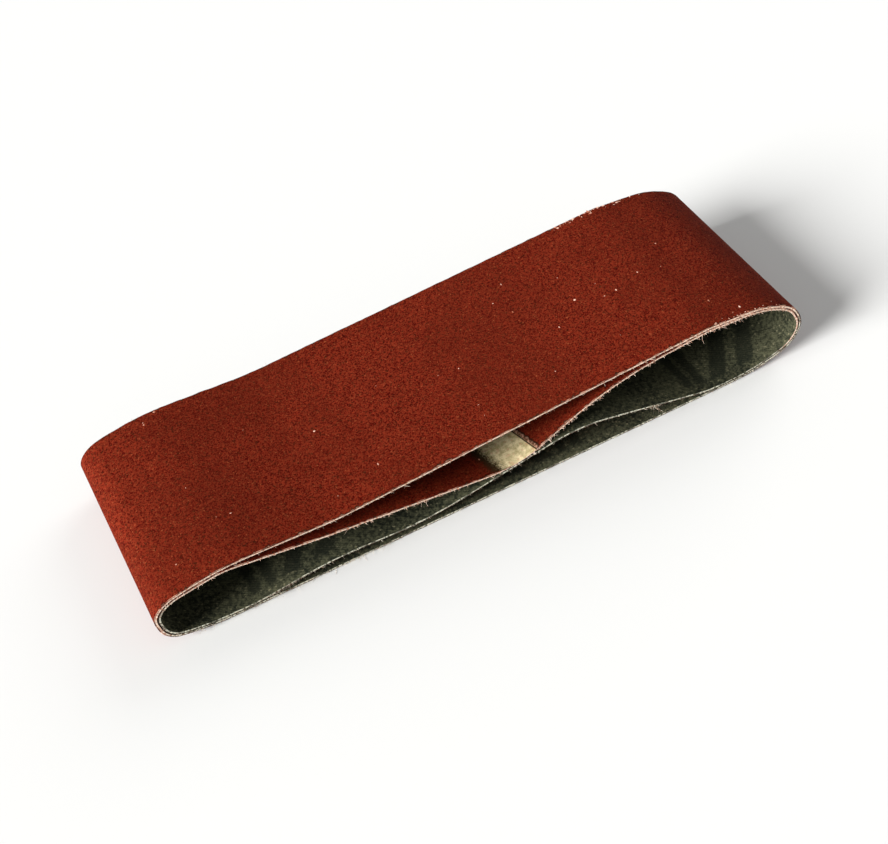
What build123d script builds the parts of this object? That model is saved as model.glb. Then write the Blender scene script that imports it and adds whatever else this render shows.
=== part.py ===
from build123d import *

import math
import os
from collections import namedtuple

# Two cloth abrasive belts for a portable belt sander, packed flat, one inside the other.
# X runs along the flattened belts, Y across their width, Z up from the table they lie on.

# ---- sizes, in millimetres ----

BELT_WIDTH = 75.0
BELT_LENGTH = 533.0             # once round the inside of either belt's cloth

CLOTH = 0.60
MAKE_COAT = 0.10                # resin that holds the grain to the cloth
ABRASIVE = 0.30                 # grain with its size coat
BELT_GAP = 0.20                 # clear space between the nested belts
PINCH_GAP = 0.30                # clear space where the inner belt's own plies come together

LOW_END_HEIGHT = 27.5           # the folded pair near its low end, at -X
HIGH_END_HEIGHT = 36.2          # and near its high end, at +X
SAG_DEPTH = 1.5                 # the top sags this much behind the low end's shoulder
SAG_FROM_LOW_END = 66.0
SAG_RADIUS = 93.0

DIP_X = 6.0                     # lowest place of the inner belt's upper ply
DIP_DROP = 19.6                 # its corner hangs this far below the outer belt's line
DIP_RADIUS = 36.0
LEAVE_RADIUS = 20.0             # bend where the upper ply leaves the outer belt's line
LEAVE_DROP = 0.6                # how far under that line its corner is
LEAD_FROM_LOW_END = 58.0        # slight bend on the way down to the dip
LEAD_DROP = 5.0
LEAD_RADIUS = 200.0
CLIMB = 37.5                    # from the dip to the bend where it is nearly back on the line
REJOIN_DROP = 1.8               # and how far under the line that bend still is
REJOIN_RADIUS = 140.0

SWELL_START_RADIUS = 40.0       # where the inner belt's lower ply leaves the outer belt
SWELL_FROM_LOW_END = 61.0       # first rise of the inner belt's lower ply
SWELL_RISE = 4.2
SWELL_RADIUS = 119.0
HOLLOW_FROM_LOW_END = 95.0      # and the hollow after it
HOLLOW_RISE = 1.3
HOLLOW_RADIUS = 105.0
PINCH_SLOPE = 12.0              # degrees, of the lower ply where it meets the dip
CREST_FROM_DIP = 25.0           # main rise of the lower ply
CREST_RADIUS = 52.0
LANDING_RADIUS = 24.0           # where the lower ply is back on the outer belt

JOINT_SLANT = 14.0              # degrees that a belt's glued joint leans off square
LAP = 8.0                       # overlap of the belt's two ends
BARE_STRIP = 13.4               # cloth left bare beside the overlap
UNDER_TONGUE = 0.35             # ground cloth of the end that lies under
GLUE = 0.05
END_GAP = 0.10                  # glue-filled gap past the tip of the under end
INNER_JOINT_X = 5.5             # edge of the over end, at the middle of the width
OUTER_JOINT_X = -60.0

# The folded ends in units of their height: distance in from the tip, height, bend radius.
LOW_END_SHAPE = [(0.91, 1.02, 2.8), (0.18, 0.85, 0.58), (0.0, 0.62, 0.17), (0.07, 0.13, 0.33),
                 (0.69, 0.0, 3.3)]
HIGH_END_SHAPE = [(0.56, 0.0, 1.55), (0.06, 0.18, 0.28), (-0.02, 0.45, 0.24), (0.12, 0.75, 0.48),
                  (0.52, 0.96, 1.1), (1.19, 1.01, 0.72)]
HIGH_END_BENDS = len(HIGH_END_SHAPE)
SWELL_START_REACH = 1.2         # in the same units, where the plies part and meet again
LANDING_REACH = 1.05

# ---- values that follow ----

PLY = CLOTH + MAKE_COAT + ABRASIVE
NEST_DEPTH = PLY + BELT_GAP + PLY
TONGUE_AND_GLUE = UNDER_TONGUE + GLUE
LENGTH_TOLERANCE = 0.005
OVERCUT = 0.15                  # how far a cut runs past the face that it opens
RUN_SHARE = 0.49                # most of a run that one bend may take

LOWER_PLY = 0
UPPER_PLY = -1

# A bend is a corner of a belt's side outline, with the radius that rounds it. Outlines run
# from the floor up the high end, back along the top and down the low end, so that the
# inside of the belt is always on their left.
Bend = namedtuple("Bend", "x z radius")

# ---- outlines ----


def neighbours(bends):
    """Each bend of a closed outline with the one before it and the one after it."""
    return zip(bends[-1:] + bends[:-1], bends, bends[1:] + bends[:1])


def directions(before, bend, after):
    """Unit vectors that arrive at a bend and leave it."""
    arriving = Vector(bend.x - before.x, bend.z - before.z)
    leaving = Vector(after.x - bend.x, after.z - bend.z)
    return arriving.normalized(), leaving.normalized()


def run_length(start, end):
    return math.hypot(end.x - start.x, end.z - start.z)


def eased(bends):
    """The same outline, with each radius no larger than the runs beside it leave room for."""
    fitted = []
    for before, bend, after in neighbours(bends):
        arriving, leaving = directions(before, bend, after)
        half_turn = math.radians(arriving.get_angle(leaving)) / 2
        room = RUN_SHARE * min(run_length(before, bend), run_length(bend, after))
        fitted.append(bend._replace(radius=min(bend.radius, room / math.tan(half_turn))))
    return fitted


def inset(bends, depth):
    """The same outline moved inwards by depth, or outwards where depth is negative."""
    moved = []
    for before, bend, after in neighbours(bends):
        arriving, leaving = directions(before, bend, after)
        inward = Vector(-arriving.Y - leaving.Y, arriving.X + leaving.X)
        shift = inward * (depth / (1 + arriving.dot(leaving)))
        turns_inward = arriving.cross(leaving).Z > 0
        radius = bend.radius - depth if turns_inward else bend.radius + depth
        moved.append(Bend(bend.x + shift.X, bend.z + shift.Y, radius))
    return moved


def bend_centre(before, bend, after):
    """Centre of the arc that rounds a bend."""
    arriving, leaving = directions(before, bend, after)
    half_turn = math.radians(arriving.get_angle(leaving)) / 2
    towards = (leaving - arriving).normalized()
    return Vector(bend.x, bend.z) + towards * (bend.radius / math.cos(half_turn))


def height_at(start, end, x):
    """Height at x of the straight line through two bends."""
    return start.z + (end.z - start.z) * (x - start.x) / (end.x - start.x)


def loop_line(bends):
    """The closed line that an outline's bends and radii describe."""
    corners = [(bend.x, bend.z) for bend in bends]
    return FilletPolyline(*corners, radius=[bend.radius for bend in bends], close=True)


def end_bends(shape, tip_x, inward, height):
    """Bends of one folded end, from its shape in units of its height."""
    return [Bend(tip_x + inward * reach * height, rise * height, radius * height)
            for reach, rise, radius in shape]


def outer_belt_outline(span):
    """Outside face of the outer belt, its folded ends span apart."""
    high_end = end_bends(HIGH_END_SHAPE, span / 2, -1, HIGH_END_HEIGHT)
    low_end = end_bends(LOW_END_SHAPE, -span / 2, 1, LOW_END_HEIGHT)
    sag = Bend(SAG_FROM_LOW_END - span / 2, LOW_END_HEIGHT - SAG_DEPTH, SAG_RADIUS)
    return eased(high_end + [sag] + low_end)


def inner_belt_outline(outer_outside, crest_height):
    """Inside face of the inner belt, its lower ply's crest crest_height above the floor.

    It lies against the outer belt round both folded ends, and bows away from it between
    them, where its upper ply dips on to its lower ply.
    """
    nested = inset(outer_outside, NEST_DEPTH)
    high_end = nested[:HIGH_END_BENDS]
    sag = nested[HIGH_END_BENDS]
    low_end = nested[HIGH_END_BENDS + 1:]
    high_shoulder = high_end[-1]
    low_shoulder, low_floor = low_end[0], low_end[-1]
    low_tip = min(bend.x for bend in low_end)
    high_tip = max(bend.x for bend in high_end)

    leave = Bend(low_shoulder.x, low_shoulder.z - LEAVE_DROP, LEAVE_RADIUS)
    lead_x = low_tip + LEAD_FROM_LOW_END
    rejoin_x = DIP_X + CLIMB
    lead = Bend(lead_x, height_at(low_shoulder, sag, lead_x) - LEAD_DROP, LEAD_RADIUS)
    dip = Bend(DIP_X, height_at(sag, high_shoulder, DIP_X) - DIP_DROP, DIP_RADIUS)
    rejoin = Bend(rejoin_x, height_at(sag, high_shoulder, rejoin_x) - REJOIN_DROP, REJOIN_RADIUS)

    dip_centre = bend_centre(rejoin, dip, lead)
    slope = math.radians(PINCH_SLOPE)
    pinch_radius = DIP_RADIUS + PINCH_GAP
    pinch = Bend(dip_centre.X + pinch_radius * math.sin(slope),
                 dip_centre.Y - pinch_radius * math.cos(slope), pinch_radius)

    floor = low_floor.z
    swell_start_x = low_tip + SWELL_START_REACH * LOW_END_HEIGHT
    landing_x = high_tip - LANDING_REACH * HIGH_END_HEIGHT
    swell_start = Bend(swell_start_x, floor, SWELL_START_RADIUS)
    swell = Bend(low_tip + SWELL_FROM_LOW_END, floor + SWELL_RISE, SWELL_RADIUS)
    hollow = Bend(low_tip + HOLLOW_FROM_LOW_END, floor + HOLLOW_RISE, HOLLOW_RADIUS)
    crest = Bend(DIP_X + CREST_FROM_DIP, floor + crest_height, CREST_RADIUS)
    landing = Bend(landing_x, floor, LANDING_RADIUS)

    return eased([swell_start, swell, hollow, pinch, crest, landing] + high_end
                 + [rejoin, dip, lead, leave] + low_end[1:])


def solve_belt_length(outline_of, low, high):
    """The value between low and high that makes outline_of(value) BELT_LENGTH long."""
    grows = loop_line(outline_of(high)).length > loop_line(outline_of(low)).length
    while high - low > LENGTH_TOLERANCE:
        middle = (low + high) / 2
        too_long = loop_line(outline_of(middle)).length > BELT_LENGTH
        if too_long == grows:
            high = middle
        else:
            low = middle
    return outline_of((low + high) / 2)


# ---- solids ----


def solid_of(bends):
    """Everything inside an outline, over the width of the belt."""
    side = Plane.XZ * make_face(loop_line(bends))
    return extrude(side, amount=BELT_WIDTH / 2, both=True)


def layer(inside, near, far):
    """Part of a belt's thickness, between two depths outwards from its inside face."""
    return solid_of(inset(inside, -far)) - solid_of(inset(inside, -near))


def joint_zone(joint_x, start, end):
    """Upright slab across the belt along the slanted joint, from start to end past it."""
    slab = Box(end - start, 2 * BELT_WIDTH, 4 * HIGH_END_HEIGHT,
               align=(Align.MIN, Align.CENTER, Align.CENTER))
    return Pos(joint_x, 0, 0) * Rot(0, 0, JOINT_SLANT) * Pos(start, 0, 0) * slab


def patch(inside, near, far, zone, ply):
    """The part of a layer that a joint zone takes from the upper or the lower ply."""
    return (layer(inside, near, far) & zone).solids().sort_by(Axis.Z)[ply]


def make_belt(inside, joint_x, ply):
    """A belt's four pieces: cloth, make coat, abrasive and the glue of its lapped joint."""
    bare = patch(inside, UNDER_TONGUE, PLY + OVERCUT, joint_zone(joint_x, -BARE_STRIP, 0), ply)
    film = patch(inside, UNDER_TONGUE, TONGUE_AND_GLUE, joint_zone(joint_x, 0, LAP), ply)
    fill = patch(inside, 0, TONGUE_AND_GLUE, joint_zone(joint_x, LAP, LAP + END_GAP), ply)
    glue = film + fill
    return {
        "cloth": layer(inside, 0, CLOTH) - bare - glue,
        "make_coat": layer(inside, CLOTH, CLOTH + MAKE_COAT) - bare,
        "abrasive": layer(inside, CLOTH + MAKE_COAT, PLY) - bare,
        "joint_glue": glue,
    }


def write_belt(name, inside, joint_x, ply):
    for piece, solid in make_belt(inside, joint_x, ply).items():
        export_step(solid, f"parts/{name}_{piece}.step")


# ---- the folded pair ----

solved_outer = solve_belt_length(
    lambda span: inset(outer_belt_outline(span), PLY), BELT_LENGTH / 4, BELT_LENGTH / 2)
middle_x = loop_line(solved_outer).bounding_box().center().X
outer_inside = [bend._replace(x=bend.x - middle_x) for bend in solved_outer]
outer_outside = inset(outer_inside, -PLY)

inner_inside = solve_belt_length(
    lambda crest_height: inner_belt_outline(outer_outside, crest_height), SWELL_RISE, LOW_END_HEIGHT)

os.makedirs("parts", exist_ok=True)
write_belt("outer_belt", outer_inside, OUTER_JOINT_X, LOWER_PLY)
write_belt("inner_belt", inner_inside, INNER_JOINT_X, UPPER_PLY)
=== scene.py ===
import math

import bmesh
import bpy
import numpy as np
from mathutils import Matrix, Vector


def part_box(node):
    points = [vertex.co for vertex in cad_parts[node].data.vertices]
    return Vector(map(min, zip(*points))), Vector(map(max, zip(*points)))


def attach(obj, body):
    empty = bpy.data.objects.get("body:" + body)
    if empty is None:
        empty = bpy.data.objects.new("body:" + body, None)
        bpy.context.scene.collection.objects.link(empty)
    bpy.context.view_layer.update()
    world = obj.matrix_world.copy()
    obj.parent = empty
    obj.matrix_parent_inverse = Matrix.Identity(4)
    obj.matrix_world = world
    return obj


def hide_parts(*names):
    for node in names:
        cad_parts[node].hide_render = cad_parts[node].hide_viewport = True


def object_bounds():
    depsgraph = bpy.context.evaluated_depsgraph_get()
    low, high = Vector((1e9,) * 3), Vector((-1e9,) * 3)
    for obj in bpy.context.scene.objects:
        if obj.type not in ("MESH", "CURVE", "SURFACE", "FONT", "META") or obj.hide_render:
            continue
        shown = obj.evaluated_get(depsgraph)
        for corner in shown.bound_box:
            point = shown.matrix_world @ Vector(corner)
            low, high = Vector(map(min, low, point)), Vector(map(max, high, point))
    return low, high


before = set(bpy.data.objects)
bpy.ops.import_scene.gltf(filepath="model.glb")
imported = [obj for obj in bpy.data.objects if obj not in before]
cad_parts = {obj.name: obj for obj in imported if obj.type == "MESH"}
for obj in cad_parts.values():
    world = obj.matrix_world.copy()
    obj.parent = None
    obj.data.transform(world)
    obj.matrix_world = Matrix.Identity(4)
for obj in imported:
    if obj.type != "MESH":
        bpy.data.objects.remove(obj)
cad_box = [list(corner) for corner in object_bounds()]

# Two cloth abrasive belts, one nested in the other. Every layer is modelled flat, as the
# belt is made, with x along the belt, y across it and z out from the inside face of its
# cloth, and is then wrapped round the side line of the belt's own cloth in the frame.

MM = 0.001
UV_SIZE = 0.1                      # metres of belt in one unit of the UV map

# ---- sizes that the layers share ----

CLOTH_TOP = 0.60 * MM
MAKE_TOP = 0.70 * MM
COAT_TOP = 1.00 * MM
UNDER_TONGUE = 0.35 * MM
GLUE_TOP = 0.40 * MM
END_GAP = 0.10 * MM
LAP = 8.0 * MM
BARE_STRIP = 13.4 * MM
FEATHER = 6.5 * MM                 # over which the ground-off coat fades out
OVER_END_WEAR = 2.2 * MM           # ground edge of the end that lies on top
BEAD = 0.60 * MM                   # glue squeezed out past it
JOINT_SLANT = math.tan(math.radians(14))
COAT_START = LAP + BARE_STRIP - 0.6 * FEATHER
THIN_COAT = 0.07 * MM              # what is left of the coat where it fades out
GRAIN_RELIEF = 0.016 * MM

# Steps of the meshes, along and across a layer.
COAT_PITCH = 0.74 * MM
CLOTH_PITCH = 0.90 * MM
FILM_PITCH = 2.0 * MM
COARSE_PITCH = 5.0 * MM
EDGE_COLUMNS = np.array([0, 0.25, 0.6]) * MM
FIRST_EVEN_COLUMN = 1.1 * MM
SMOOTH_BELOW = math.radians(40)

# The side line is read from the cloth's outline and evened out.
OUTLINE_CORNER = math.radians(50)
LINE_SAMPLES = 8192
LINE_SMOOTHING = 1.6 * MM

# Frayed threads stay within the thickness of the belt.
THREAD_LEVELS = (0.05 * MM, 0.85 * MM)
THREAD_RINGS = 5
THREAD_TIP = 0.35                  # share of its thickness left at a thread's tip
STUB_SPACING = 0.5 * MM
CHIP_STEPS = 4096                  # places along a belt where its chipped sides are drawn

front_y, back_y = cad_box[0][1], cad_box[1][1]
BELT_WIDTH = back_y - front_y


# ---- the side line of a belt ----

def rim_points(node):
    """The outline of a node's front edge, as points (x, z) in order."""
    shape = bmesh.new()
    shape.from_mesh(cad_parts[node].data)
    bmesh.ops.remove_doubles(shape, verts=shape.verts, dist=0.001 * MM)
    on_front = {face for face in shape.faces
                if all(vert.co.y < front_y + 0.01 * MM for vert in face.verts)}
    rim = [edge for edge in shape.edges if sum(face in on_front for face in edge.link_faces) == 1]
    links = {}
    for edge in rim:
        for vert in edge.verts:
            links.setdefault(vert, []).append(edge)
    vert, edge = rim[0].verts[0], rim[0]
    points = []
    for _ in rim:
        points.append((vert.co.x, vert.co.z))
        vert = edge.other_vert(vert)
        edge = next(other for other in links[vert] if other is not edge)
    shape.free()
    return np.array(points)


def inside_face_points(node):
    """The longest stretch of a cloth's outline with no sharp corner: its inside face."""
    points = rim_points(node)
    ahead = np.roll(points, -1, axis=0) - points
    behind = points - np.roll(points, 1, axis=0)
    cross = behind[:, 0] * ahead[:, 1] - behind[:, 1] * ahead[:, 0]
    turn = np.abs(np.arctan2(cross, (behind * ahead).sum(1)))
    corners = np.flatnonzero(turn > OUTLINE_CORNER)
    points = np.roll(points, -corners[0], axis=0)
    breaks = list(corners - corners[0]) + [len(points)]
    closed = np.vstack([points, points[:1]])
    stretches = [closed[start:end + 1] for start, end in zip(breaks, breaks[1:])]
    return max(stretches, key=lambda line: np.hypot(*np.diff(line, axis=0).T).sum())


class SideLine:
    """The closed, evenly curved line of a belt's inside face, measured by length along it."""

    def __init__(self, points):
        closed = np.vstack([points, points[:1]])
        run = np.concatenate([[0], np.cumsum(np.hypot(*np.diff(closed, axis=0).T))])
        even = np.linspace(0, run[-1], LINE_SAMPLES, endpoint=False)
        line = np.interp(even, run, closed[:, 0] + 1j * closed[:, 1])
        if (np.roll(line, -1).real * line.imag - line.real * np.roll(line, -1).imag).sum() > 0:
            line = line[::-1]
        waves = np.fft.fftfreq(LINE_SAMPLES, run[-1] / LINE_SAMPLES) * 2 * math.pi
        smooth = np.fft.ifft(np.fft.fft(line) * np.exp(-(waves * LINE_SMOOTHING) ** 2 / 2))
        steps = np.abs(np.roll(smooth, -1) - smooth)
        self.length = steps.sum()
        self.along = np.concatenate([[0], np.cumsum(steps)])
        tangent = np.roll(smooth, -1) - np.roll(smooth, 1)
        outward = tangent / np.abs(tangent) * -1j
        self.line = np.append(smooth, smooth[0])
        self.outward = np.append(outward, outward[0])

    def at(self, along):
        """Points and outward directions at lengths along the line, as complex x + iz."""
        place = np.mod(along, self.length)
        point = np.interp(place, self.along, self.line)
        out = np.interp(place, self.along, self.outward)
        return point, out / np.abs(out)

    def along_at(self, x, faces_up):
        """Length along the line where it passes x on its upper or its lower ply."""
        right_ply = (self.outward.imag > 0) == faces_up
        miss = np.where(right_ply, np.abs(self.line.real - x), np.inf)
        return self.along[int(np.argmin(miss))]


class Belt:
    """One belt: its side line, and where its lapped joint lies on it."""

    def __init__(self, name, joint_faces_up):
        self.name = name
        self.line = SideLine(inside_face_points(name + "_cloth"))
        low_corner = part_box(name + "_joint_glue")[0]
        edge_x = low_corner.x + JOINT_SLANT * BELT_WIDTH / 2
        self.joint = self.line.along_at(edge_x, joint_faces_up)
        self.sense = 1 if joint_faces_up else -1
        self.length = self.line.length

    def wrap(self, flat):
        """Points of a flat layer, bent round the folded belt."""
        point, out = self.line.at(self.joint + self.sense * (flat[:, 0] - LAP))
        place = point + out * flat[:, 2]
        return np.column_stack([place.real, flat[:, 1], place.imag])

    def flat_along(self, x, faces_up):
        """Length along the flat belt, at the middle of its width, of a place on a ply."""
        return np.mod(self.sense * (self.line.along_at(x, faces_up) - self.joint) + LAP, self.length)


# ---- modelling ----

def deselect_all():
    bpy.ops.object.select_all(action="DESELECT")


def new_piece(name, verts, faces, flat, materials, finish_of_faces=None):
    """A piece from its wrapped points, with the flat ones as its UV map."""
    mesh = bpy.data.meshes.new(name)
    mesh.from_pydata(verts, [], faces)
    corner_verts = np.zeros(len(mesh.loops), dtype=np.int32)
    mesh.loops.foreach_get("vertex_index", corner_verts)
    uv = np.column_stack([flat[:, 0], flat[:, 1] - front_y])[corner_verts] / UV_SIZE
    mesh.uv_layers.new(name="belt").data.foreach_set("uv", uv.astype(np.float32).ravel())
    for material in materials:
        mesh.materials.append(material)
    if finish_of_faces is not None:
        mesh.polygons.foreach_set("material_index", np.array(finish_of_faces, dtype=np.int32))
    shape = bmesh.new()
    shape.from_mesh(mesh)
    bmesh.ops.recalc_face_normals(shape, faces=shape.faces)
    shape.to_mesh(mesh)
    shape.free()
    piece = bpy.data.objects.new(name, mesh)
    bpy.context.scene.collection.objects.link(piece)
    deselect_all()
    piece.select_set(True)
    bpy.context.view_layer.objects.active = piece
    bpy.ops.object.shade_smooth_by_angle(angle=SMOOTH_BELOW)
    return piece


def grid_faces(index):
    """Quads between the neighbours of a grid of vertex numbers."""
    corners = [index[:-1, :-1], index[1:, :-1], index[1:, 1:], index[:-1, 1:]]
    return np.stack(corners, -1).reshape(-1, 4)


def layer(name, belt, along, pitch, fine, plain, finishes, trim, seed, relief=0, marks=None):
    """A closed strip, with a fine grid on one side and a coarser one on the other.

    fine and plain are the heights of its two sides, one for each row of along. finishes name
    the finish of the fine side, of the cut edges and of the plain side. The cut edges are
    ragged by up to trim. marks are functions of the place on the belt, kept as attributes.
    """
    fine_y = columns_across(pitch)
    plain_y = spaced(front_y, back_y, COARSE_PITCH)
    rows = len(along)
    grids = []
    for side, (across, height, bumps) in enumerate(((fine_y, fine, relief), (plain_y, plain, 0))):
        y = np.tile(across, (rows, 1))
        for edge, inward in ((0, 1), (-1, -1)):
            rough = soft_noise((rows, 3), 1.2, seed + 3 * side + edge)[:, 1]
            y[:, edge] += inward * trim * 0.5 * (1 + rough)
        z = np.repeat(height[:, None], len(across), 1) + bumps
        grids.append(np.stack([along[:, None] + JOINT_SLANT * y, y, z], -1))
    flat = np.vstack([grid.reshape(-1, 3) for grid in grids])
    fine_index = np.arange(rows * len(fine_y)).reshape(rows, -1)
    plain_index = fine_index.size + np.arange(rows * len(plain_y)).reshape(rows, -1)

    top = grid_faces(fine_index).tolist()
    bottom = grid_faces(plain_index).tolist()
    edges = []
    for column in (0, -1):
        cut = np.column_stack([fine_index[:, column], plain_index[:, column]])
        edges += grid_faces(cut).tolist()
    for row in (0, -1):
        bottom.append(fine_index[row].tolist() + plain_index[row, ::-1].tolist())
    finish_of_faces = [0] * len(top) + [1] * len(edges) + [2] * len(bottom)

    materials = [FINISHES[finish] for finish in finishes]
    faces = top + edges + bottom
    piece = new_piece(name, belt.wrap(flat).tolist(), faces, flat, materials, finish_of_faces)
    row_of_point = flat[:, 0] - JOINT_SLANT * flat[:, 1]
    for mark, value_at in (marks or {}).items():
        attribute = piece.data.attributes.new(mark, "FLOAT", "POINT")
        attribute.data.foreach_set("value", value_at(row_of_point, flat[:, 1]).astype(np.float32))
    return piece


def belong(piece, belt, slot, *nodes):
    """Puts a piece on its belt, in the place of its CAD nodes; slot is not used."""
    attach(piece, belt.name)
    if nodes:
        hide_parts(*nodes)


def ramp(value, start, end):
    """0 before start and 1 past end, with a smooth rise between."""
    t = np.clip((value - start) / (end - start), 0, 1)
    return t * t * (3 - 2 * t)


def spaced(start, end, pitch):
    """Even steps from start to end, about a pitch apart."""
    return np.linspace(start, end, max(2, int(round((end - start) / pitch)) + 1))


def columns_across(pitch):
    """Places across the belt, closer together at its two cut edges."""
    middle = spaced(front_y + FIRST_EVEN_COLUMN, back_y - FIRST_EVEN_COLUMN, pitch)
    return np.concatenate([front_y + EDGE_COLUMNS, middle, back_y - EDGE_COLUMNS[::-1]])


def soft_noise(shape, reach, seed):
    """Even random values from -1 to 1, blurred over reach steps."""
    values = np.random.default_rng(seed).standard_normal(shape)
    for axis in (0, 1):
        waves = np.fft.fftfreq(shape[axis]) * 2 * math.pi
        keep = np.exp(-(waves * reach) ** 2 / 2)
        keep = keep[:, None] if axis == 0 else keep[None, :]
        values = np.fft.ifft(np.fft.fft(values, axis=axis) * keep, axis=axis).real
    return np.clip(values / (3 * values.std()), -1, 1)


# ---- finishes ----

def colour(red, green, blue):
    """A display colour, 0 to 255, as the linear one that a shader takes."""
    channels = [value / 255 for value in (red, green, blue)]
    return tuple(v / 12.92 if v < 0.04045 else ((v + 0.055) / 1.055) ** 2.4 for v in channels) + (1.0,)


class Value:
    """A socket in a finish. Arithmetic on it adds Math nodes."""

    def __init__(self, finish, socket):
        self.finish = finish
        self.socket = socket

    def math(self, operation, *terms):
        return self.finish.node("Math", {"operation": operation}, dict(enumerate(terms)))

    def __add__(self, other):
        return self.math("ADD", self, other)

    def __sub__(self, other):
        return self.math("SUBTRACT", self, other)

    def __rsub__(self, other):
        return self.math("SUBTRACT", other, self)

    def __mul__(self, other):
        return self.math("MULTIPLY", self, other)

    def __mod__(self, other):
        return self.math("FLOORED_MODULO", self, other)

    def __abs__(self):
        return self.math("ABSOLUTE", self)

    __radd__ = __add__
    __rmul__ = __mul__

    def sine(self):
        return self.math("SINE", self)

    def least(self, other):
        return self.math("MINIMUM", self, other)

    def most(self, other):
        return self.math("MAXIMUM", self, other)

    def rise(self, start, end):
        """0 at start and 1 at end, smooth between; the other way where end is less."""
        if end < start:
            return 1 - self.rise(end, start)
        limits = {"Value": self, "From Min": start, "From Max": end}
        return self.finish.node("MapRange", {"interpolation_type": "SMOOTHSTEP"}, limits)


class Finish:
    """A material whose pattern lies along and across the belt, in millimetres."""

    def __init__(self, name, specular, roughness=0.9):
        self.material = bpy.data.materials.new(name)
        self.material.use_nodes = True
        self.tree = self.material.node_tree
        self.shader = self.tree.nodes["Principled BSDF"]
        self.shader.inputs["Specular IOR Level"].default_value = specular
        self.shader.inputs["Roughness"].default_value = roughness
        self.belt = self.node("UVMap", {"uv_map": "belt"}, {})
        self.along = self.node("SeparateXYZ", {}, {"Vector": self.belt}, 0) * (UV_SIZE / MM)
        self.across = self.node("SeparateXYZ", {}, {"Vector": self.belt}, 1) * (UV_SIZE / MM)

    def node(self, kind, settings, inputs, output=0):
        """Adds a node, sets it up, fills its sockets and gives one of its outputs."""
        made = self.tree.nodes.new("ShaderNode" + kind)
        for setting, value in settings.items():
            setattr(made, setting, value)
        for socket, value in inputs.items():
            if isinstance(value, Value):
                self.tree.links.new(value.socket, made.inputs[socket])
            else:
                made.inputs[socket].default_value = value
        return Value(self, made.outputs[output])

    def pattern_place(self, shift, stretch=1.0, turn=0.0):
        """The belt's own coordinates, moved, turned and squeezed along the belt."""
        place = {"Vector": self.belt, "Location": (shift, 0, 0), "Rotation": (0, 0, turn),
                 "Scale": (1 / stretch, 1, 1)}
        return self.node("Mapping", {}, place)

    def noise(self, size, shift=0.0, detail=3.0, stretch=1.0, turn=0.0):
        """Smooth noise from about 0.3 to 0.7, with patches of a size in millimetres."""
        place = self.pattern_place(shift, stretch, turn)
        sockets = {"Vector": place, "Scale": UV_SIZE / MM / size, "Detail": detail}
        return self.node("TexNoise", {"noise_dimensions": "2D"}, sockets)

    def cells(self, size, shift=0.0, output="Distance"):
        """Cells of a size in millimetres: the distance from their centres, or their colours."""
        sockets = {"Vector": self.pattern_place(shift), "Scale": UV_SIZE / MM / size}
        return self.node("TexVoronoi", {"voronoi_dimensions": "2D"}, sockets, output)

    def chance(self, size, shift=0.0):
        """An even random value for each cell."""
        return self.node("SeparateColor", {}, {"Color": self.cells(size, shift, "Color")}, 0)

    def mix(self, share, first, second):
        """The first colour where share is 0 and the second where it is 1."""
        return self.node("Mix", {"data_type": "RGBA"}, {0: share, 6: first, 7: second}, 2)

    def mark(self, name):
        """A value kept on the piece's own points."""
        return self.node("Attribute", {"attribute_name": name}, {}, 2)

    def paint(self, base, height=None, depth=0.1 * MM, roughness=None):
        """Links a base colour, and a height that the light sees as relief."""
        self.tree.links.new(base.socket, self.shader.inputs["Base Color"])
        if height is not None:
            relief = self.node("Bump", {}, {"Strength": 1.0, "Distance": depth, "Height": height})
            self.tree.links.new(relief.socket, self.shader.inputs["Normal"])
        if roughness is not None:
            self.tree.links.new(roughness.socket, self.shader.inputs["Roughness"])
        return self.material


TWILL_PITCH = 0.95                 # millimetres, as all sizes in the finishes are
PRINT_START = 4.0
PRINT_REPEAT = 88.0
PRINT_HALF_WIDTH = 34.0
CHEVRON_SLOPE = 0.62


def red_grain_coat():
    """Red oxide grain in a red size coat, worn through to the resin and the cloth."""
    finish = Finish("red_grain_coat", specular=0.03, roughness=0.85)
    grain = finish.chance(0.33)
    coarse = finish.chance(0.56, shift=3.1)
    cloudy = finish.noise(38, shift=1.7, detail=4)
    lit = (grain * 0.66 + coarse * 0.34).rise(0.08, 0.92)
    red = finish.mix(lit, colour(62, 0, 0), colour(142, 47, 26))
    brownish = finish.chance(0.38, shift=4.9).rise(0.55, 1.0)
    red = finish.mix(brownish * 0.4, red, colour(122, 50, 28))
    red = finish.mix(cloudy.rise(0.34, 0.68) * 0.35, red, colour(88, 25, 11))
    # painted glints: a few grains are pale pink-orange, as if catching the light
    painted_glint = grain.rise(0.955, 0.985) * coarse.rise(0.45, 0.6)
    red = finish.mix(painted_glint * 0.7, red, colour(176, 92, 54))
    dark = finish.chance(0.5, shift=7.7).rise(0.93, 0.97)
    red = finish.mix(dark * 0.6, red, colour(40, 24, 8))

    ragged = finish.noise(1.1, shift=4.4, detail=4) - 0.5
    worn = finish.mark("wear") + ragged * 0.7
    pink = finish.mix(ragged.rise(-0.15, 0.2), colour(136, 92, 70), colour(206, 156, 132))
    red = finish.mix(worn.rise(0.12, 0.56) * 0.9, red, colour(36, 25, 14))
    red = finish.mix(worn.rise(0.55, 1.1), red, pink)
    faded = finish.mark("fade") + (grain - 0.5) * 0.35 + ragged * 0.25
    # dark olive stage: the thin coat's resin showing, made wider than it is as painted shade
    red = finish.mix(faded.rise(-0.05, 0.5) * 0.92, red, colour(44, 36, 19))
    red = finish.mix(faded.rise(0.6, 1.2), red, bare_cloth_tone(finish))
    grains_high = grain * 0.7 + coarse * 0.4 - finish.cells(0.33) * 0.5
    return finish.paint(red, grains_high * faded.rise(0.9, 0.1), depth=0.10 * MM)


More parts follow.
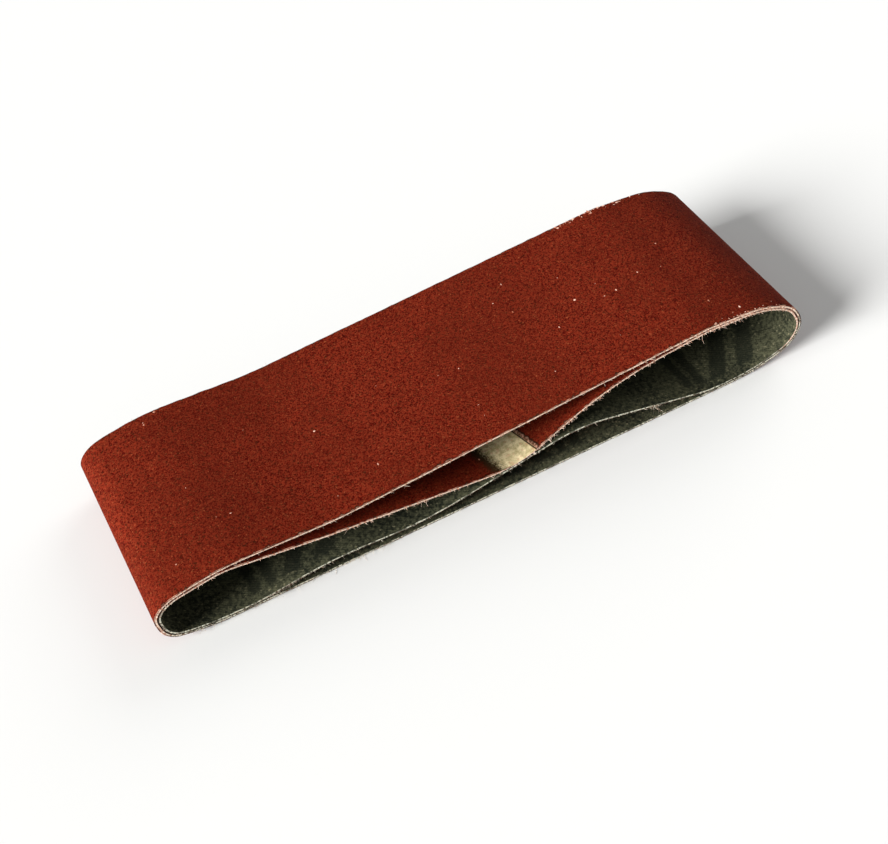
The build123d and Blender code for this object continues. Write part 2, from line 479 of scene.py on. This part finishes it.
def chipped_coat_edge():
    """Broken side of the grain coat, where the belt was slit, dark olive-black on the lower ply as
    painted shade.
    """
    finish = Finish("chipped_coat_edge", specular=0.1)
    broken = finish.noise(0.6, detail=4)
    pale = finish.noise(1.9, shift=2.2, detail=4, stretch=2)
    red = finish.mix(broken.rise(0.38, 0.62), colour(62, 20, 12), colour(128, 56, 38))
    red = finish.mix(pale.rise(0.46, 0.58), red, colour(224, 168, 142))
    # painted shade: on the lower ply the broken side is dark olive-black, as if in shadow near the floor
    painted_shade = finish.mix(broken, colour(22, 22, 16), colour(58, 50, 38))
    red = finish.mix(finish.mark("lower_ply_shade").rise(0.2, 0.7), red, painted_shade)
    return finish.paint(red, broken, depth=0.2 * MM)


def resin_film():
    """Brown make coat that holds the grain."""
    finish = Finish("resin_film", specular=0.4, roughness=0.5)
    patchy = finish.noise(1.6, detail=4)
    brown = finish.mix(patchy.rise(0.35, 0.65), colour(58, 24, 14), colour(112, 58, 36))
    return finish.paint(brown, patchy, depth=0.05 * MM)


def joint_adhesive():
    """Amber glue of the lapped joint."""
    finish = Finish("joint_adhesive", specular=0.5, roughness=0.35)
    patchy = finish.noise(1.2, detail=3)
    amber = finish.mix(patchy.rise(0.35, 0.65), colour(40, 28, 18), colour(86, 60, 38))
    return finish.paint(amber, patchy, depth=0.05 * MM)


def cut_cotton():
    """Raw cotton where the belt was cut, pink with grinding dust, or greyed and darkened on the lower
    ply as painted shade.
    """
    finish = Finish("cut_cotton", specular=0.1)
    frayed = finish.noise(0.6, detail=5, stretch=1.5)
    patchy = finish.noise(3.2, shift=6.1, detail=4, stretch=2)
    pink = finish.mix(frayed.rise(0.34, 0.56), colour(206, 150, 122), colour(252, 228, 208))
    # painted shade: the lower ply's cut cotton is grey with darker patches, as if in shadow near the
    # floor
    painted_shade = finish.mix(frayed.rise(0.36, 0.56), colour(96, 98, 80), colour(232, 232, 212))
    painted_shade = finish.mix(patchy.rise(0.50, 0.60) * 0.8, painted_shade, colour(60, 62, 48))
    pale = finish.mix(finish.mark("lower_ply_shade"), pink, painted_shade)
    return finish.paint(pale, frayed, depth=0.25 * MM)


def pink_dust():
    """Crumbs of grinding dust and lint, pink from the coat."""
    finish = Finish("pink_dust", specular=0.1)
    mixed = finish.noise(2.5, shift=5.3, detail=4)
    return finish.paint(finish.mix(mixed.rise(0.35, 0.65), colour(180, 108, 80), colour(246, 202, 178)))


def printed_marks(finish):
    """Generic ink marks on the inside face: chevrons that show the belt's direction, and bands."""
    place = (finish.along + PRINT_START) % PRINT_REPEAT - PRINT_REPEAT / 2
    fuzz = (finish.noise(1.6, shift=8.8, detail=3) - 0.5) * 3.0
    off_centre = abs(finish.across - BELT_WIDTH / MM / 2)
    slope = place + off_centre * CHEVRON_SLOPE
    chevron = (abs(slope - 13.0) - 3.6).least(abs(slope - 1.0) - 3.6)
    bands = abs(abs(place + 30.0) - 3.0) - 2.0
    inked = chevron.least(bands).most(off_centre - PRINT_HALF_WIDTH)
    return (inked + fuzz).rise(0.9, -0.9)


def backing_cloth():
    """Olive-dyed twill, printed and mottled, on the side that runs on the rollers."""
    finish = Finish("backing_cloth", specular=0.08, roughness=0.85)
    turn = math.radians(58)
    twill = (finish.along * (2 * math.pi / TWILL_PITCH * math.cos(turn))
             + finish.across * (2 * math.pi / TWILL_PITCH * math.sin(turn))
             + (finish.noise(3.0, shift=9.1) - 0.5) * 3.0).sine()
    thread = finish.chance(0.42, shift=1.1)
    mottle = finish.noise(1.5, shift=0.4, detail=5)
    cloud = finish.noise(26, shift=2.9, detail=4)
    tone = mottle.rise(0.32, 0.70) * 0.42 + thread * 0.32 + twill * 0.03
    tone = tone + cloud.rise(0.35, 0.65) * 0.26
    cloth = finish.mix(tone.rise(0.05, 0.95), colour(32, 36, 28), colour(92, 92, 70))
    slub = finish.chance(0.55, shift=5.9).rise(0.92, 0.96) * mottle.rise(0.4, 0.6)
    cloth = finish.mix(slub * 0.45, cloth, colour(150, 142, 112))
    ink = printed_marks(finish) * (0.35 + mottle.rise(0.3, 0.6) * 0.4)
    cloth = finish.mix(ink, cloth, colour(20, 26, 22))
    return finish.paint(cloth, twill * 0.25 + thread * 0.6 + mottle, depth=0.10 * MM)


def bare_cloth_tone(finish):
    """Colour of twill where the coat was ground off: beige, mottled, with scraps of resin."""
    mottle = finish.noise(2.2, shift=3.3, detail=5)
    thread = finish.chance(0.45, shift=0.9)
    scratch = finish.noise(1.1, shift=7.2, detail=3, stretch=6, turn=math.radians(-14))
    tone = mottle.rise(0.33, 0.67) * 0.5 + thread * 0.3 + scratch.rise(0.4, 0.65) * 0.2
    cloth = finish.mix(tone, colour(168, 150, 102), colour(246, 228, 182))
    pink = finish.chance(0.8, shift=6.6).rise(0.88, 0.94)
    return finish.mix(pink * 0.4, cloth, colour(206, 150, 120))


def ground_cloth():
    """Bare twill beside the joint."""
    finish = Finish("ground_cloth", specular=0.1)
    threads_high = finish.chance(0.45, shift=0.9) * 0.6
    threads_high = threads_high + finish.noise(2.2, shift=3.3, detail=5)
    return finish.paint(bare_cloth_tone(finish), threads_high, depth=0.10 * MM)


# ---- layers of a belt ----

FINISHES = {
    "coat": red_grain_coat(),
    "coat_edge": chipped_coat_edge(),
    "resin": resin_film(),
    "glue": joint_adhesive(),
    "cut": cut_cotton(),
    "dust": pink_dust(),
    "backing": backing_cloth(),
    "ground": ground_cloth(),
}


def cloth_top(along):
    """Outer face of the cloth, ground down under the joint and on the bare strip."""
    full = ramp(along, COAT_START + 1.5 * MM, COAT_START + FEATHER)
    return UNDER_TONGUE + (CLOTH_TOP - UNDER_TONGUE) * full


def resin_top(along):
    """Outer face of the make coat, which thins out towards the bare strip."""
    return cloth_top(along) + (MAKE_TOP - CLOTH_TOP) * ramp(along, COAT_START + MM, COAT_START + FEATHER)


def coat_top(belt, along):
    """Outer face of the grain, faded in past the bare strip and rounded off at the over end."""
    fade_in = ramp(along, COAT_START, COAT_START + 1.3 * FEATHER)
    over_end = 0.30 + 0.70 * ramp(belt.length + LAP - along, 0, 0.9 * MM)
    full = (COAT_TOP - MAKE_TOP - THIN_COAT) * fade_in * over_end
    return resin_top(along) + THIN_COAT + full


def lower_ply_shade(belt):
    """How much painted shade the belt's cut edges take at a place: those of the lower ply, facing down
    towards the floor, take it.
    """
    def at(along, across):
        point, out = belt.line.at(belt.joint + belt.sense * (along - LAP))
        return ramp(-out.imag, -0.5, 0.6)
    return at


def fade(along, across):
    """How far the coat has faded into the bare strip at a place, from 0 to above 1."""
    return 1.25 * ramp(-along, -COAT_START - 1.8 * FEATHER, -COAT_START - 0.1 * FEATHER)


def wear(belt, seed):
    """How worn the grain is at a place: at the over end, and in chips along the sides."""
    chips = soft_noise((CHIP_STEPS, 2), 2.6, seed)
    reach = (0.35 + 1.2 * ramp(chips, 0.10, 0.65)) * MM

    def at(along, across):
        end = belt.length + LAP
        step = np.clip((along / end * CHIP_STEPS).astype(int), 0, CHIP_STEPS - 1)
        on_back = across > 0
        from_side = np.where(on_back, back_y - across, across - front_y)
        chip = np.where(on_back, reach[step, 1], reach[step, 0])
        side = ramp(-from_side, -chip, 0.1 * MM)
        over_end = 0.85 * ramp(along, end - OVER_END_WEAR, end - 0.35 * OVER_END_WEAR)
        return np.maximum(over_end, side)
    return at


def backing(belt):
    """The cloth: ground thin under the joint, and stepped over the other end's tongue."""
    lapped = belt.length
    under = spaced(0, lapped - END_GAP, CLOTH_PITCH)
    over = spaced(lapped, lapped + LAP, CLOTH_PITCH)
    along = np.concatenate([under, over])
    inside = np.where(along < lapped - END_GAP / 2, 0.0, GLUE_TOP)
    # the mark on the lower ply's cut edges is painted shade
    piece = layer(belt.name + "_backing", belt, along, CLOTH_PITCH, inside, cloth_top(along),
                  ("backing", "cut", "ground"), trim=0.18 * MM, seed=11, marks={"lower_ply_shade": lower_ply_shade(belt)})
    belong(piece, belt, "belt_cloth", belt.name + "_cloth")
    return piece


def resin(belt):
    """The thin make coat between the cloth and the grain."""
    along = spaced(COAT_START + MM, belt.length + LAP, FILM_PITCH)
    piece = layer(belt.name + "_resin", belt, along, FILM_PITCH, resin_top(along), cloth_top(along),
                  ("resin", "resin", "resin"), trim=0.14 * MM, seed=12)
    belong(piece, belt, "make_resin", belt.name + "_make_coat")


def grain(belt):
    """The abrasive, with its relief, its chipped edges and its worn ends."""
    along = spaced(COAT_START, belt.length + LAP, COAT_PITCH)
    rough = soft_noise((len(along), len(columns_across(COAT_PITCH))), 0.8, seed=21) - 1
    full = ramp(along, COAT_START + FEATHER, COAT_START + 2 * FEATHER)
    relief = rough * GRAIN_RELIEF * full[:, None]
    under = np.maximum(resin_top(along) - 0.03 * MM, 0.30 * MM)
    # the mark on the lower ply's cut edges is painted shade
    piece = layer(belt.name + "_grain", belt, along, COAT_PITCH, coat_top(belt, along), under,
                  ("coat", "coat_edge", "coat"), trim=0.34 * MM, seed=22, relief=relief,
                  marks={"wear": wear(belt, seed=23), "fade": fade, "lower_ply_shade": lower_ply_shade(belt)})
    belong(piece, belt, "abrasive_coat", belt.name + "_abrasive")


def joint_film(belt):
    """Glue between the two tongues of the joint, with a bead of it squeezed out along the edge."""
    lapped = belt.length
    tongue = spaced(lapped, lapped + LAP, CLOTH_PITCH)
    along = np.concatenate([[lapped - END_GAP, lapped - 0.01 * MM], tongue, [lapped + LAP + BEAD]])
    under = np.where(along < lapped, 0.0, UNDER_TONGUE - 0.02 * MM)
    over = np.full(len(along), GLUE_TOP)
    piece = layer(belt.name + "_joint_film", belt, along, FILM_PITCH, over, under,
                  ("glue", "glue", "glue"), trim=0.05 * MM, seed=31)
    belong(piece, belt, "joint_adhesive", belt.name + "_joint_glue")


# ---- frayed threads and crumbs ----

def threads(name, belt, roots, lean, radius, seed):
    """Fine three-sided fibres from their roots along a lean, each with its own curl."""
    draw = np.random.default_rng(seed)
    count = len(roots)
    steps = np.linspace(0, 1, THREAD_RINGS)[None, :, None]
    curl = draw.normal(0, 0.35, (count, 1, 3)) * np.linalg.norm(lean, axis=1)[:, None, None]
    path = roots[:, None] + lean[:, None] * steps + curl * steps ** 2
    path[:, :, 2] = np.clip(path[:, :, 2], THREAD_LEVELS[0], THREAD_LEVELS[1])
    angle = np.arange(3) * 2 * math.pi / 3
    ring = np.column_stack([np.cos(angle), 0 * angle, np.sin(angle)])
    taper = radius[:, None] * np.linspace(1, THREAD_TIP, THREAD_RINGS)[None]
    flat = (path[:, :, None] + ring[None, None] * taper[:, :, None, None]).reshape(-1, 3)
    faces = []
    for root in range(0, len(flat), THREAD_RINGS * 3):
        tip = root + (THREAD_RINGS - 1) * 3
        for low in range(root, tip, 3):
            for side, following in ((0, 1), (1, 2), (2, 0)):
                faces.append([low + side, low + following, low + 3 + following, low + 3 + side])
        faces += [[root, root + 1, root + 2], [tip, tip + 1, tip + 2]]
    piece = new_piece(name, belt.wrap(flat).tolist(), faces, flat, [FINISHES["cut"]])
    # painted shade: the lower ply's threads take part of the shade painted on its cut edges
    painted_shade = piece.data.attributes.new("lower_ply_shade", "FLOAT", "POINT")
    painted_shade.data.foreach_set("value", 0.6 * lower_ply_shade(belt)(flat[:, 0], flat[:, 1]).astype(np.float32))
    belong(piece, belt, "belt_cloth")
    return piece


def edge_roots(draw, along, side_y):
    """Roots of threads at places along a cut edge, at any height in the cloth."""
    height = draw.uniform(0.08 * MM, 0.55 * MM, len(along))
    return np.column_stack([along, np.full(len(along), side_y), height])


def frayed_edge(belt, tufts, seed):
    """Short stubs all along both cut edges, and longer whiskers in tufts on the front edge."""
    draw = np.random.default_rng(seed)
    roots, leans, radii = [], [], []
    for side_y, outward in ((front_y, -1), (back_y, 1)):
        along = np.arange(STUB_SPACING, belt.length, STUB_SPACING)
        count = len(along)
        along = along + draw.uniform(-0.5, 0.5, count) * STUB_SPACING
        length = draw.gamma(2.0, 0.13, count) * MM
        roots.append(edge_roots(draw, along, side_y))
        leans.append(np.column_stack([draw.normal(0, 0.5, count) * length, outward * length,
                                      draw.normal(0, 0.25, count) * length]))
        radii.append(draw.uniform(0.06, 0.12, count) * MM)
    for centre, spread, count, reach in tufts:
        along = belt.flat_along(*centre) + draw.normal(0, spread, count)
        length = draw.gamma(3.0, reach / 3, count)
        roots.append(edge_roots(draw, along, front_y))
        leans.append(np.column_stack([draw.normal(0, 0.8, count) * length, -0.8 * length,
                                      draw.normal(0, 0.3, count) * length]))
        radii.append(draw.uniform(0.04, 0.09, count) * MM)
    return threads(belt.name + "_frayed_threads", belt, np.vstack(roots), np.vstack(leans),
                   np.concatenate(radii), seed + 1)


def crumbs(belt, patches, seed):
    """Loose crumbs of grain and lint on the coat: uneven eight-sided grains."""
    draw = np.random.default_rng(seed)
    centres = []
    for (x, faces_up), y, spread, count in patches:
        along = belt.flat_along(x, faces_up) + draw.uniform(-spread[0], spread[0], count)
        across = y + draw.uniform(-spread[1], spread[1], count)
        across = np.clip(across, front_y + 0.4 * MM, back_y - 0.4 * MM)
        centres.append(np.column_stack([along, across, np.full(count, COAT_TOP)]))
    centres = np.vstack(centres)
    corners = np.array([[1, 0, 0], [-1, 0, 0], [0, 1, 0], [0, -1, 0], [0, 0, 1], [0, 0, -1]])
    sides = [[0, 2, 4], [2, 1, 4], [1, 3, 4], [3, 0, 4], [2, 0, 5], [1, 2, 5], [3, 1, 5], [0, 3, 5]]
    size = draw.uniform(0.12, 0.34, (len(centres), 1, 1)) * MM
    stretch = draw.uniform(0.6, 2.2, (len(centres), 1, 3)) * [1, 1, 0]
    jitter = draw.uniform(0.6, 1.4, (len(centres), 6, 3)) * (stretch + [0, 0, 0.55])
    flat = (centres[:, None] + corners[None] * jitter * size).reshape(-1, 3)
    faces = [[6 * crumb + k for k in side] for crumb in range(len(centres)) for side in sides]
    place = belt.wrap(flat).tolist()
    piece = new_piece(belt.name + "_crumbs", place, faces, flat, [FINISHES["dust"]])
    belong(piece, belt, "abrasive_coat")


# ---- the two belts ----

UP, DOWN = True, False             # which ply of a belt, by the way that its coat faces


def make_belt(belt, tufts, crumb_patches, seed):
    """All the layers of one belt; it gives back the belt's cloth.

    Each tuft is a place on the belt, its spread, its number of threads and their reach. Each
    patch of crumbs is a place along and across, its spread both ways and its number of crumbs.
    """
    cloth = backing(belt)
    resin(belt)
    grain(belt)
    joint_film(belt)
    fray = frayed_edge(belt, tufts, seed)
    crumbs(belt, crumb_patches, seed + 5)
    return cloth


outer_belt = Belt("outer_belt", joint_faces_up=DOWN)
inner_belt = Belt("inner_belt", joint_faces_up=UP)

outer_cloth = make_belt(
    outer_belt,
    tufts=[((-0.110, UP), 6 * MM, 20, 0.5 * MM), ((0.095, UP), 14 * MM, 170, 0.45 * MM),
           ((0.0, UP), 60 * MM, 90, 0.45 * MM), ((-0.070, DOWN), 22 * MM, 90, 0.8 * MM)],
    crumb_patches=[((0.0, UP), 0.0, (0.115, 0.037), 32), ((0.100, UP), front_y, (0.016, 0.003), 18),
                   ((0.085, UP), back_y, (0.020, 0.0018), 46)],
    seed=41)
make_belt(
    inner_belt,
    tufts=[((0.030, UP), 14 * MM, 130, 0.8 * MM), ((-0.085, DOWN), 14 * MM, 110, 0.9 * MM),
           ((0.063, DOWN), 1.2 * MM, 40, 1.8 * MM), ((0.095, UP), 12 * MM, 130, 0.6 * MM),
           ((-0.040, UP), 20 * MM, 60, 0.6 * MM)],
    crumb_patches=[((-0.03, UP), 0.0, (0.030, 0.037), 4)],
    seed=61)


# ---- floor, light and camera ----

def plain_material(name, tone, roughness):
    material = bpy.data.materials.new(name)
    material.use_nodes = True
    shader = material.node_tree.nodes["Principled BSDF"]
    shader.inputs["Base Color"].default_value = tone
    shader.inputs["Roughness"].default_value = roughness
    return material


def pale_floor():
    deselect_all()
    bpy.ops.mesh.primitive_plane_add(size=40.0, location=(0, 0, cad_box[0][2]))
    floor = bpy.context.active_object
    floor.name = "studio_floor"
    floor.data.materials.append(plain_material("studio_floor", colour(234, 234, 232), 0.9))


def soft_light(name, comes_from, spread, strength):
    """A large far soft box, spread degrees across as the object sees it."""
    lamp = bpy.data.lights.new(name, "SUN")
    lamp.angle = math.radians(spread)
    lamp.energy = strength
    light = bpy.data.objects.new(name, lamp)
    place = Vector(comes_from)
    light.matrix_world = Matrix.Translation(place) @ place.to_track_quat("Z", "Y").to_matrix().to_4x4()
    bpy.context.scene.collection.objects.link(light)


def studio():
    pale_floor()
    soft_light("key_soft_box", (-1.85, -0.27, 0.85), 25, 6.4)
    soft_light("fill_soft_box", (1.5, 0.9, 0.9), 40, 0.9)
    world = bpy.data.worlds.new("studio_air")
    world.use_nodes = True
    world.node_tree.nodes["Background"].inputs["Color"].default_value = (1, 1, 1, 1)
    world.node_tree.nodes["Background"].inputs["Strength"].default_value = 0.25
    bpy.context.scene.world = world
    bpy.context.scene.view_settings.view_transform = "Standard"


def camera():
    """A camera above the front left, with the frame rolled a little."""
    lens = bpy.data.cameras.new("camera")
    lens.sensor_width = 36.0
    lens.lens = 54.32
    lens.clip_start = 0.01
    right = Vector((0.87926, -0.47219, -0.06271))
    up = Vector((0.39413, 0.64724, 0.65249))
    turn = Matrix((right, up, right.cross(up))).transposed().to_4x4()
    viewer = bpy.data.objects.new("camera", lens)
    viewer.matrix_world = Matrix.Translation((-0.13455, -0.29364, 0.37225)) @ turn
    bpy.context.scene.collection.objects.link(viewer)
    bpy.context.scene.camera = viewer


studio()
camera()
